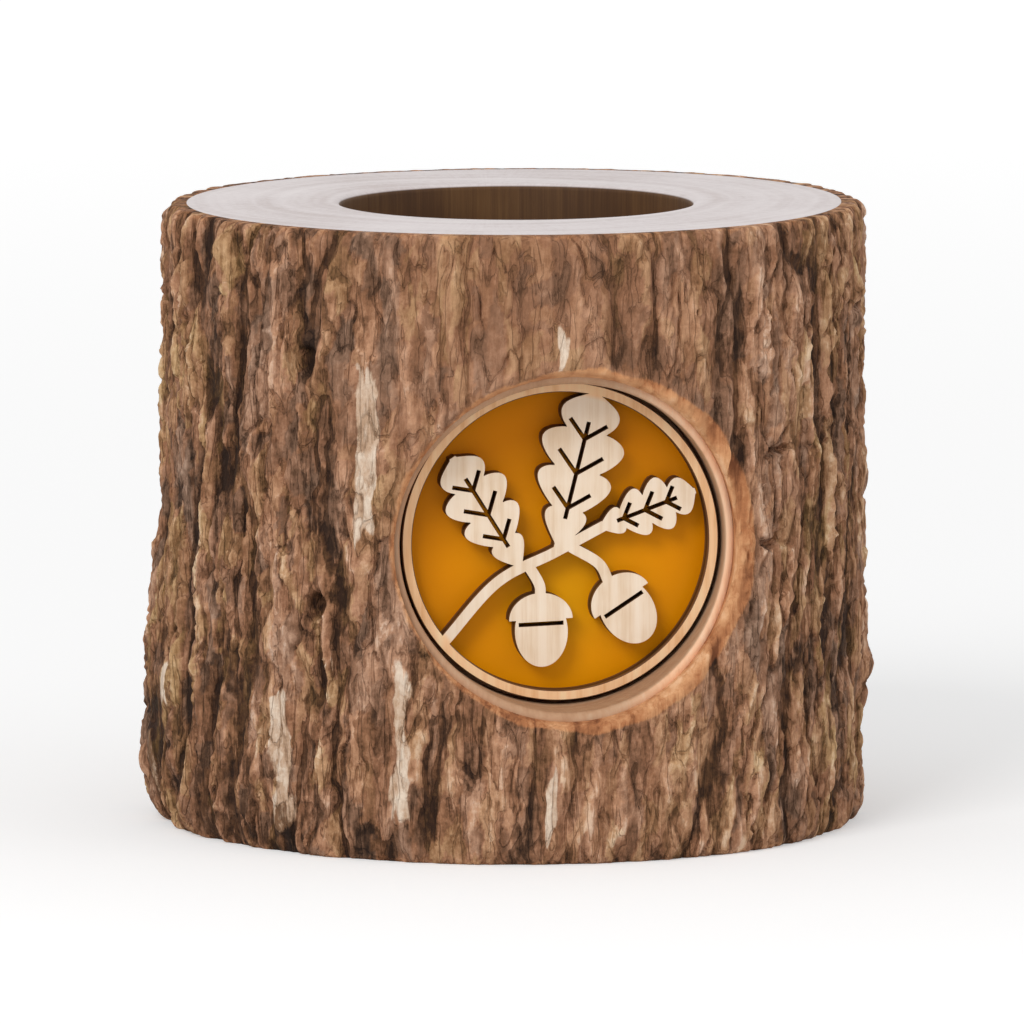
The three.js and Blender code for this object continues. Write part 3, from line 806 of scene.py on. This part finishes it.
tone = add("Math", {0: rings, 1: 0.4, 2: 0.01}, operation="MULTIPLY_ADD")
for part, share in ((rays, 0.13), (grain, 0.3), (patch, 0.4)):
    tone = add("Math", {0: part, 1: share, 2: tone}, operation="MULTIPLY_ADD")
tint, cambium, drilled_brown_and_shade = (
    add("ValToRGB", {0: tone}, stops)
    for stops in (
        [(0.45, "#ebe3e2"), (0.6, "#e2d9d8"), (0.72, "#d6cbc9"), (0.9, "#c2b2ac")],
        [(0.45, "#ffdcba"), (0.6, "#fac8a0"), (0.8, "#e0a67a")],
        [(0.45, "#7b5a36"), (0.58, "#664627"), (0.7, "#52351c"), (0.9, "#382210")],
    )
)
# The dark brown is the drilled well's own colour, and in the window's recess it is painted shade.
for name, other in (("under_bark", cambium), ("drilled_brown_and_painted_shade", drilled_brown_and_shade)):
    share = add("Attribute", out="Fac", attribute_name=name)
    tint = add("Mix", {0: share, 6: tint, 7: other}, out=2, data_type="RGBA")
bump = add("Bump", {"Height": grain, "Strength": 0.35, "Distance": 0.0003})
link(sapwood, {"Base Color": tint, "Normal": bump})
finish_piece(wood, sapwood, "holder", "wood_core")

# %% [markdown]
# ## The fretwork disc
#
# A laser cuts such a disc out of 3 mm birch plywood in one pass: a thin rim, and inside it an
# oak twig with three leaves and two acorns. Each form is drawn as an outline, stood up to the
# plywood's thickness and joined to the rest, and the veins are cut out again as slots. The
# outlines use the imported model's formulas with more steps.


# %% Outlines of the oak twig
SLOT_WIDTH = 0.6


def plate_of(name, outline, stretch=1.0):
    """A plate in the disc's own plane from a closed outline. Stretched, it cuts right through."""
    outline = np.asarray(outline)
    count = len(outline)
    middle, half = DISC_BACK + DISC_THICKNESS / 2, DISC_THICKNESS / 2 * stretch
    points = [np.c_[outline, np.full(count, z)] for z in (middle - half, middle + half)]
    return plain_object(name, facing_window(np.concatenate(points)), capped_faces(2, count))


def placed(outline, foot, degrees):
    """Turns an outline that grows along +X, and moves its foot to its place."""
    c, s = math.cos(math.radians(degrees)), math.sin(math.radians(degrees))
    return np.asarray(outline) @ np.array([[c, s], [-s, c]]) + foot


def box_outline(x, y, long, wide, lean=0):
    corners = np.array([(-long, -wide), (long, -wide), (long, wide), (-long, wide)]) / 2
    return placed(corners, (x, y), lean)


def leaf_outline(length, half_width, steps=120):
    t = np.linspace(0, 1, steps)
    lobe = np.abs(np.sin(4 * math.pi * t)) ** 0.7
    body = np.clip(np.sin(math.pi * t**1.25), 0, 1) ** 0.6
    half = half_width * np.maximum(0.1, body * (0.5 + 0.5 * lobe))
    edge = np.stack([length * (t + 0.04 * lobe * body), half], 1)
    return np.concatenate([edge, edge[::-1] * (1, -1)])[::-1]


def leaf_slots(length, half_width):
    slots = [box_outline(0.5 * length, 0, 0.62 * length, SLOT_WIDTH)]
    for t in (0.26, 0.48, 0.7):
        long = half_width * (0.72 - 0.5 * abs(t - 0.48))
        for lean in (48, -48):
            x = t * length + 0.5 * long * math.cos(math.radians(lean))
            y = 0.5 * long * math.sin(math.radians(lean))
            slots.append(box_outline(x, y, long, SLOT_WIDTH, lean))
    return slots


def ellipse(x, half_long, half_wide, start=0, end=360, steps=72):
    a = np.radians(np.linspace(start, end, steps, endpoint=end - start < 360))
    return np.stack([x + half_long * np.cos(a), half_wide * np.sin(a)], 1)


def twig_outline(points, width=1.5, steps=14):
    """A band of even width along a smooth curve through the points."""
    p = np.asarray(points, float)
    p = np.concatenate([[2 * p[0] - p[1]], p, [2 * p[-1] - p[-2]]])
    centre = []
    for a, b, c, d in zip(p, p[1:], p[2:], p[3:]):
        for t in np.linspace(0, 1, steps, endpoint=False):
            curve = 2 * b + (c - a) * t + (2 * a - 5 * b + 4 * c - d) * t**2
            centre.append(0.5 * (curve + (3 * b - a - 3 * c + d) * t**3))
    centre = np.array(centre + [p[-2]])
    along = np.gradient(centre, axis=0)
    side = np.stack([-along[:, 1], along[:, 0]], 1) / np.linalg.norm(along, axis=1)[:, None]
    return np.concatenate([centre - side * width / 2, (centre + side * width / 2)[::-1]])


print("a leaf's outline has", len(leaf_outline(18.5, 4.9)), "points")

# %% Make the fretwork disc
RIM_STEPS = 224
# The twig's foot and its top leaf reach this far into the rim, in millimetres.
OVERLAP = 0.5
STEM_FOOT = (-16, -13.4)
TOP_LEAF_FOOT, TOP_LEAF_HEADING = (-0.4, -1.0), 76
LEAF_SHARE, ACORN_LENGTH = 0.265, 10.4
rim_inside = DISC_RADIUS - DISC_RIM
top, bottom, soft = DISC_BACK + DISC_THICKNESS, DISC_BACK, 0.12
rim_profile = [
    (rim_inside, bottom + soft), (rim_inside + soft, bottom), (DISC_RADIUS - soft, bottom),
    (DISC_RADIUS, bottom + soft), (DISC_RADIUS, top - soft), (DISC_RADIUS - soft, top),
    (rim_inside + soft, top), (rim_inside, top - soft),
]
rim_points, rim_faces = turned_ring(rim_profile, RIM_STEPS)
disc = plain_object("oak_twig_disc", facing_window(rim_points), rim_faces)

reach = (rim_inside + OVERLAP) / math.hypot(*STEM_FOOT)
stem_foot = (STEM_FOOT[0] * reach, STEM_FOOT[1] * reach)
forms = [
    twig_outline([stem_foot, (-9, -5.6), (-1, -1.6), (6.2, 2.1)]),
    twig_outline([(-4.6, -3.2), (-3, -6), (-2.9, -8)]),
    twig_outline([(1.5, -0.8), (5.4, -3.2), (6.9, -6)]),
]
slots = []
heading = math.radians(TOP_LEAF_HEADING)
toward = np.array([math.cos(heading), math.sin(heading)]) @ TOP_LEAF_FOOT
x, y = TOP_LEAF_FOOT
to_rim = math.sqrt(toward**2 - x**2 - y**2 + (rim_inside + OVERLAP) ** 2) - toward
for foot, degrees, length in (
    ((-5.5, -3.6), 122, 18.5), (TOP_LEAF_FOOT, TOP_LEAF_HEADING, to_rim), ((5.4, 1.8), 20, 14.6),
):
    forms.append(placed(leaf_outline(length, LEAF_SHARE * length), foot, degrees))
    slots += [placed(slot, foot, degrees) for slot in leaf_slots(length, LEAF_SHARE * length)]
for foot, degrees in (((-2.9, -7.2), -88), ((6.6, -5.4), -57)):
    length = ACORN_LENGTH
    nut = 0.36 * length
    forms.append(placed(ellipse(0.52 * length, 0.48 * length, nut), foot, degrees))
    forms.append(placed(ellipse(0.36 * length, 0.36 * length, 1.2 * nut, 90, 270), foot, degrees))
    slot = box_outline(0.36 * length + SLOT_WIDTH, 0, SLOT_WIDTH, 1.7 * nut)
    slots.append(placed(slot, foot, degrees))
cut_or_join(disc, [plate_of("form", outline) for outline in forms], "UNION")
cut_or_join(disc, [plate_of("slot", outline, 2.5) for outline in slots])
print("forms joined:", len(forms), "slots cut:", len(slots))

# %% [markdown]
# Laser-cut birch is pale and silky on its face, and scorched dark brown on every cut edge. The
# face's veneer has a faint upright figure of fine lines. Which is which depends on where the
# surface looks: forwards and backwards are faces, everything else was cut.

# %% Plywood material
plywood, add, place = new_material("birch_plywood_laser_cut", {
    "Roughness": 0.55, "IOR": 1.5, "Specular IOR Level": 0.3,
})
facing = add("SeparateXYZ", {0: place.node.outputs["Normal"]}, out=1)
facing = add("Math", {0: facing}, operation="ABSOLUTE")
is_face = add("MapRange", {"Value": facing, "From Min": 0.75, "From Max": 0.98})
figure = add("Mapping", {"Vector": place, "Scale": (1, 1, 0.05)})
figure = add("TexNoise", {"Vector": figure, "Scale": 900.0, "Detail": 5.0, "Roughness": 0.6})
cloud = add("TexNoise", {"Vector": place, "Scale": 160.0, "Detail": 2.0})
tone = add("Math", {0: cloud, 1: 0.5, 2: figure}, operation="MULTIPLY_ADD")
veneer = add("ValToRGB", {0: tone}, [(0.5, "#fbe9d3"), (0.75, "#f5dfc5"), (1.0, "#e3c5a2")])
# The rim is so narrow that the laser's smoke stained its whole face. Its peach tint is partly that
# stain and partly painted amber light from the pane.
flat = {0: place, 1: (1.0, 0.0, 1.0), 2: (0.0, 0.0, -WINDOW_HEIGHT * MM)}
flat = add("VectorMath", flat, operation="MULTIPLY_ADD")
flat = add("VectorMath", {0: flat}, out="Value", operation="LENGTH")
smoke_and_amber_light_share = {"Value": flat, "From Min": (rim_inside - 0.6) * MM, "From Max": rim_inside * MM}
smoke_and_amber_light_share = add("MapRange", smoke_and_amber_light_share)
stain_and_amber_light = add("ValToRGB", {0: tone}, [(0.5, "#ffdfb2"), (0.75, "#fdd0a0"), (1.0, "#ecb680")])
veneer = add("Mix", {0: smoke_and_amber_light_share, 6: veneer, 7: stain_and_amber_light}, out=2, data_type="RGBA")
# Three plies of 1 mm: the middle one, cut across its grain, burns darkest.
ply = add("SeparateXYZ", {0: place}, out=1)
ply = add("Math", {0: ply, 1: (DISC_BACK + DISC_THICKNESS / 2) * MM})
ply = add("Math", {0: ply}, operation="ABSOLUTE")
ply = add("MapRange", {"Value": ply, "From Min": 0.0004, "From Max": 0.0006})
ply = add("Math", {0: cloud, 1: 0.6, 2: ply}, operation="MULTIPLY_ADD")
burnt = add("ValToRGB", {0: ply}, [(0.2, "#2a1a10"), (0.8, "#4a2f1c"), (1.0, "#6b482c")])
tint = add("Mix", {0: is_face, 6: burnt, 7: veneer}, out=2, data_type="RGBA")
bump = add("Bump", {"Height": figure, "Strength": 0.25, "Distance": 0.0001})
link(plywood, {"Base Color": tint, "Normal": bump})
finish_piece(disc, plywood, "holder", "motif_disc")

# %% [markdown]
# ## The amber pane
#
# The pane is a disc of cast acrylic with a satin face: light gets through, but nothing sharp is
# seen behind it. So under a tenth of the shader is transmission, tinted by the base colour, and
# the rest scatters as coloured haze. The satin face is rough, at 0.42. A pool of light is painted
# into the base colour low in the middle of the pane, where the tealight's wax and the well's floor
# would throw light up.

# %% Make the pane
PANE_STEPS = 192
edge = 0.25
front, rear = PANE_FRONT, PANE_FRONT - PANE_THICKNESS
pane_profile = [(0, rear), (12, rear), (DISC_RADIUS - edge, rear)]
pane_profile += arc((DISC_RADIUS - edge, rear + edge), edge, -90, 0, 4)[1:]
pane_profile += arc((DISC_RADIUS - edge, front - edge), edge, 0, 90, 4) + [(12, front), (0, front)]
pane_points, pane_faces = turned(pane_profile, PANE_STEPS)
pane = plain_object("satin_amber_pane", facing_window(pane_points), pane_faces)

print(f"the pane is {2 * DISC_RADIUS:.1f} mm across and {PANE_THICKNESS:.0f} mm thick")

# %% Acrylic material
acrylic, add, place = new_material("cast_acrylic_amber_satin", {
    "Roughness": 0.42, "IOR": 1.49, "Transmission Weight": 0.08, "Specular IOR Level": 0.06,
})
# Painted light: the base colour is lighter in a pool low in the pane's middle.
painted_light_pool = {0: place, 1: (0.002, -PANE_FRONT * MM, 0.034)}
painted_light_pool = add("VectorMath", painted_light_pool, out="Value", operation="DISTANCE")
painted_light_pool = add("MapRange", {"Value": painted_light_pool, "From Max": 0.03})
haze = add("TexNoise", {"Vector": place, "Scale": 90.0, "Detail": 3.0})
painted_light_pool = add("Math", {0: haze, 1: 0.3, 2: painted_light_pool}, operation="MULTIPLY_ADD")
amber = add("ValToRGB", {0: painted_light_pool}, [(0.1, "#ffb404"), (0.5, "#fa9f00"), (1.0, "#e88b00")])
satin = add("TexNoise", {"Vector": place, "Scale": 2500.0, "Detail": 2.0})
bump = add("Bump", {"Height": satin, "Strength": 0.12, "Distance": 0.0001})
link(acrylic, {"Base Color": amber, "Normal": bump})
finish_piece(pane, acrylic, "holder", "amber_pane")

# %% [markdown]
# ## The tealight's cup
#
# A tealight's cup is deep drawn from thin aluminium. Drawing gathers the wall into shallow
# upright flutes, the lip is rolled outwards, and the floor has a pressed ring that stiffens it.
# The profile is turned first, and then the flutes move the wall's points in and out.


# %% Make the cup
FLUTES, FLUTE_DEPTH = 64, 0.3
CUP_STEPS = 10 * FLUTES
# The wall leans outwards by the flare for each rise, both in millimetres.
CUP_RISE, CUP_FLARE = 2.2, 0.1


def standing(points):
    """Stands a piece of the tealight on the well's floor."""
    return points + np.array([0, 0, FLOOR_HEIGHT])


cup_profile = [(0, 0.35), (6, 0.35), (6.6, 0.0), (9.4, 0.0), (10, 0.3), (15, 0.3), (15.8, 0.0)]
cup_profile += arc((CUP_BASE_RADIUS - 1, 1), 1, -90, 0, 6)
cup_profile += [(CUP_BASE_RADIUS + CUP_FLARE * k, 1 + k * CUP_RISE) for k in range(1, 6)]
cup_profile += arc((CUP_MOUTH_RADIUS + 0.02, CUP_HEIGHT - 0.48), 0.48, -100, 170, 14)
cup_profile += [
    (CUP_BASE_RADIUS - CUP_WALL + CUP_FLARE * k, 1 + k * CUP_RISE) for k in range(6, 0, -1)
]
cup_profile += arc((CUP_BASE_RADIUS - 1, 1), 1 - CUP_WALL, 0, -90, 6)
cup_profile += [(15.8, 0.3), (15, 0.6), (10, 0.6), (9.4, 0.3), (6.6, 0.3), (6, 0.65), (0, 0.65)]
cup_points, cup_faces = turned(cup_profile, CUP_STEPS)
cup_radius, cup_turn = around_axis(cup_points)
on_wall = step_up(1.2, 3.0, cup_points[:, 2]) * (1 - step_up(12.5, 14.6, cup_points[:, 2]))
wave = np.abs(np.cos(FLUTES / 2 * cup_turn)) - 0.35
flute = FLUTE_DEPTH * wave * on_wall * (cup_radius > 17)
cup_points[:, 0] += flute * np.cos(cup_turn)
cup_points[:, 1] += flute * np.sin(cup_turn)
cup = plain_object("tealight_cup_fluted", standing(cup_points), cup_faces)

print(f"{FLUTES} flutes, {2 * math.pi * CUP_BASE_RADIUS / FLUTES:.1f} mm apart at the base")

# %% Aluminium material
aluminium, add, place = new_material("aluminium_foil_deep_drawn", {"Metallic": 1.0})
# Rolling marks are 0.2 mm apart and run one way, because the sheet came off a mill.
marks = add("Mapping", {"Vector": place, "Scale": (0.05, 1, 1)})
marks = add("TexNoise", {"Vector": marks, "Scale": 4500.0, "Detail": 4.0})
tint = add("ValToRGB", {0: marks}, [(0.3, "#b9babb"), (0.7, "#c7c8c9")])
gloss = add("MapRange", {"Value": marks, "To Min": 0.16, "To Max": 0.26})
bump = add("Bump", {"Height": marks, "Strength": 0.06, "Distance": 0.0001})
link(aluminium, {"Base Color": tint, "Roughness": gloss, "Normal": bump})
finish_piece(cup, aluminium, "tealight", "tealight_cup")

# %% [markdown]
# ## The wax, the wick and its foot
#
# Paraffin wax creeps up whatever it touches while it is liquid, so its top is slightly hollow
# and rises at the cup and at the wick. Light goes a few millimetres into it. The wick is a
# braid of cotton stiffened with wax, and a small tinplate foot, pinched round its lower end,
# keeps it upright.


# %% Make the wax
WAX_STEPS = 160


def cup_inside(height):
    """Radius of the wax against the cup's wall."""
    return CUP_BASE_RADIUS - CUP_WALL + CUP_FLARE * (height - 1) / CUP_RISE - 0.12


creep = [(0.0, 0.75), (0.25, 0.45), (0.6, 0.2), (1.2, 0.06), (2.4, 0.0)]
wax_profile = [(WICK_RADIUS + 0.05 + out, WAX_DEPTH - 0.35 + rise) for out, rise in creep]
wax_profile += [(7, WAX_DEPTH - 0.38), (12, WAX_DEPTH - 0.34)]
wax_profile += [(cup_inside(WAX_DEPTH) - out, WAX_DEPTH - 0.3 + rise) for out, rise in creep[::-1]]
wax_profile += [(cup_inside(7), 7), (cup_inside(2), 2), (cup_inside(2) - 0.7, 1.0)]
wax_profile += [(FOOT_RADIUS + 0.4, 0.9), (FOOT_RADIUS + 0.4, 1.6), (2.0, 1.6), (2.0, 4.2)]
wax_profile += [(WICK_RADIUS + 0.05, 4.2)]
wax_points, wax_faces = turned_ring(wax_profile, WAX_STEPS)
dimple = 0.12 * np.sin(wax_points[:, 0] * 0.45 + 1) * np.cos(wax_points[:, 1] * 0.38)
wax_points[:, 2] += dimple * (wax_points[:, 2] > WAX_DEPTH - 0.6)
wax = plain_object("paraffin_fill", standing(wax_points), wax_faces)

print(f"the wax stands up to {wax_points[:, 2].max():.1f} mm high in the cup")

# %% Paraffin material
paraffin, add, place = new_material("paraffin_wax_poured", {
    "IOR": 1.44, "Subsurface Weight": 0.6, "Subsurface Radius": (1.0, 0.8, 0.6),
    "Subsurface Scale": 0.004,
})
# Wax frosts in patches of 2 to 4 mm as it cools.
frost = add("TexNoise", {"Vector": place, "Scale": 350.0, "Detail": 4.0})
tint = add("ValToRGB", {0: frost}, [(0.35, "#efe9da"), (0.6, "#f6f2e8")])
gloss = {"Value": frost, "From Min": 0.3, "From Max": 0.7, "To Min": 0.3, "To Max": 0.52}
gloss = add("MapRange", gloss)
bump = add("Bump", {"Height": frost, "Strength": 0.3, "Distance": 0.0003})
link(paraffin, {"Base Color": tint, "Roughness": gloss, "Normal": bump})
finish_piece(wax, paraffin, "tealight", "tealight_wax", corner=60)

# %% Make the wick
WICK_STEPS, WICK_RINGS = 30, 110
wick_height = np.linspace(0.7, WICK_TOP + 0.35, WICK_RINGS)
turn, climb = np.meshgrid(np.arange(WICK_STEPS) * 2 * math.pi / WICK_STEPS, wick_height)
# Two sets of three strands wind opposite ways and cross every 2.1 mm, as in a braid.
strands = np.maximum(np.abs(np.cos(1.5 * (turn - climb))), np.abs(np.cos(1.5 * (turn + climb))))
ends = np.clip((WICK_TOP + 0.4 - climb) / 0.5, 0.05, 1) ** 0.5
wick_radius = WICK_RADIUS * (0.74 + 0.24 * strands) * ends
lean = 0.35 * np.clip((climb - WAX_DEPTH) / 7, 0, 1) ** 2
wick_points = [wick_radius * np.cos(turn) + lean, wick_radius * np.sin(turn), climb]
wick_points = np.stack(wick_points, -1).reshape(-1, 3)
wick_faces = capped_faces(WICK_RINGS, WICK_STEPS)
wick = plain_object("braided_wick", standing(wick_points), wick_faces)

print(f"the wick stands {WICK_TOP - WAX_DEPTH:.0f} mm out of the wax")

# %% Cotton material
cotton, add, place = new_material("cotton_braid_waxed", {
    "Roughness": 0.8, "IOR": 1.5, "Sheen Weight": 0.2,
})
# Yarn fibres are thinner than a pixel, so they are drawn 0.15 mm wide to show at all.
yarn = add("Mapping", {"Vector": place, "Scale": (1, 1, 0.3)})
yarn = add("TexNoise", {"Vector": yarn, "Scale": 6500.0, "Detail": 3.0})
tint = add("ValToRGB", {0: yarn}, [(0.3, "#d9ceb6"), (0.65, "#f3ecdc")])
bump = add("Bump", {"Height": yarn, "Strength": 0.6, "Distance": 0.0001})
link(cotton, {"Base Color": tint, "Normal": bump})
finish_piece(wick, cotton, "tealight", "tealight_wick", corner=60)

# %% Make the wick's foot
FOOT_STEPS = 96
neck_out, neck_in = WICK_RADIUS + 0.55, WICK_RADIUS + 0.1
foot_profile = [
    (neck_in, 0.7), (4.4, 0.7), (4.8, 0.8), (FOOT_RADIUS - 0.1, 0.8), (FOOT_RADIUS, 0.9),
    (FOOT_RADIUS, 1.0), (FOOT_RADIUS - 0.1, 1.1), (4.8, 1.1), (4.4, 1.0), (neck_out + 0.5, 1.0),
    (neck_out, 1.4), (neck_out, 2.2), (neck_out, 2.9), (neck_out - 0.1, 3.3), (neck_in, 3.3),
]
foot_points, foot_faces = turned_ring(foot_profile, FOOT_STEPS)
foot_radius, foot_turn = around_axis(foot_points)
on_neck = step_up(1.6, 2.4, foot_points[:, 2]) * (foot_radius > 1.2)
foot_points[:, :2] *= (1 - 0.12 * np.cos(2 * foot_turn) ** 2 * on_neck)[:, None]
foot = plain_object("pressed_wick_foot", standing(foot_points), foot_faces)

print(f"the foot is {2 * FOOT_RADIUS:.1f} mm across")

# %% Tinplate material
tinplate, add, place = new_material("tinplate_pressed", {"Metallic": 1.0})
# Tin freezes in flat crystals a millimetre or two across.
spangle = add("TexVoronoi", {"Vector": place, "Scale": 700.0}, out="Color")
spangle = add("RGBToBW", {0: spangle})
tint = add("ValToRGB", {0: spangle}, [(0.2, "#a9adb1"), (0.8, "#c4c8cb")])
gloss = add("MapRange", {"Value": spangle, "To Min": 0.28, "To Max": 0.45})
link(tinplate, {"Base Color": tint, "Roughness": gloss})
finish_piece(foot, tinplate, "tealight", "wick_foot")

# %% [markdown]
# ## Floor, light and air
#
# A product photograph like this one is lit by big soft boxes over a white table. The world
# gives the even light from all round, one large lamp from the front left gives the shapes their
# soft shadow side, and a weaker one fills the right. The floor is pale and matt. Its last step
# to white is a glow that only the camera, reflections and light through glass can see, so that
# it lights nothing, and the holder's shadow on it stays.


# %% Floor
def seen_directly(add):
    """1 for light paths from the camera, a reflection or through glass, and 0 for all others."""
    path = add("LightPath").node.outputs
    seen = add("Math", {0: path["Is Camera Ray"], 1: path["Is Glossy Ray"]}, operation="MAXIMUM")
    return add("Math", {0: seen, 1: path["Is Transmission Ray"]}, operation="MAXIMUM")


WIDE = 4000
corners = [(-WIDE, -WIDE, 0), (WIDE, -WIDE, 0), (WIDE, WIDE, 0), (-WIDE, WIDE, 0)]
floor = plain_object("floor", corners, [(0, 1, 2, 3)])
NEAR_GLOW, FAR_GLOW = 0.3, 0.55
table, add, place = new_material("matt_white_table", {})
table.node_tree.nodes.remove(table.node_tree.nodes["Principled BSDF"])
far = add("VectorMath", {0: place}, out="Value", operation="LENGTH")
far = {"Value": far, "From Min": 0.12, "From Max": 1.4, "To Min": NEAR_GLOW, "To Max": FAR_GLOW}
glow = add("Math", {0: seen_directly(add), 1: add("MapRange", far)}, operation="MULTIPLY")
glow = add("Emission", {"Strength": glow})
matt = add("BsdfDiffuse", {"Color": (0.8, 0.8, 0.8, 1)})
link(table, {"Surface": add("AddShader", {0: matt, 1: glow})}, "Material Output")
floor.data.materials.append(table)
print(f"the floor is {2 * WIDE * MM:.0f} m wide")

# %% Room and lamps
ROOM_LIGHT = 0.62
world = bpy.data.worlds.new("white_room")
world.use_nodes = True
bpy.context.scene.world = world
add = partial(add_node, world)
room = add("MapRange", {"Value": seen_directly(add), "To Min": ROOM_LIGHT, "To Max": 1.0})
world.node_tree.nodes["Background"].inputs["Color"].default_value = (1, 1, 1, 1)
link(world, {"Strength": room}, "Background")


def soft_box(name, place, width, watts):
    """A square lamp that looks at the holder."""
    lamp = bpy.data.lights.new(name, "AREA")
    lamp.shape, lamp.size, lamp.energy = "SQUARE", width, watts
    box = bpy.data.objects.new(name, lamp)
    bpy.context.collection.objects.link(box)
    box.location = place
    box.rotation_euler = (Vector(place) - look_at).to_track_quat("Z", "Y").to_euler()


soft_box("key", (-0.55, -0.75, 0.7), 0.45, 5.0)
soft_box("fill", (0.9, -0.6, 0.35), 0.6, 1.2)
bpy.context.scene.view_settings.view_transform = "Standard"
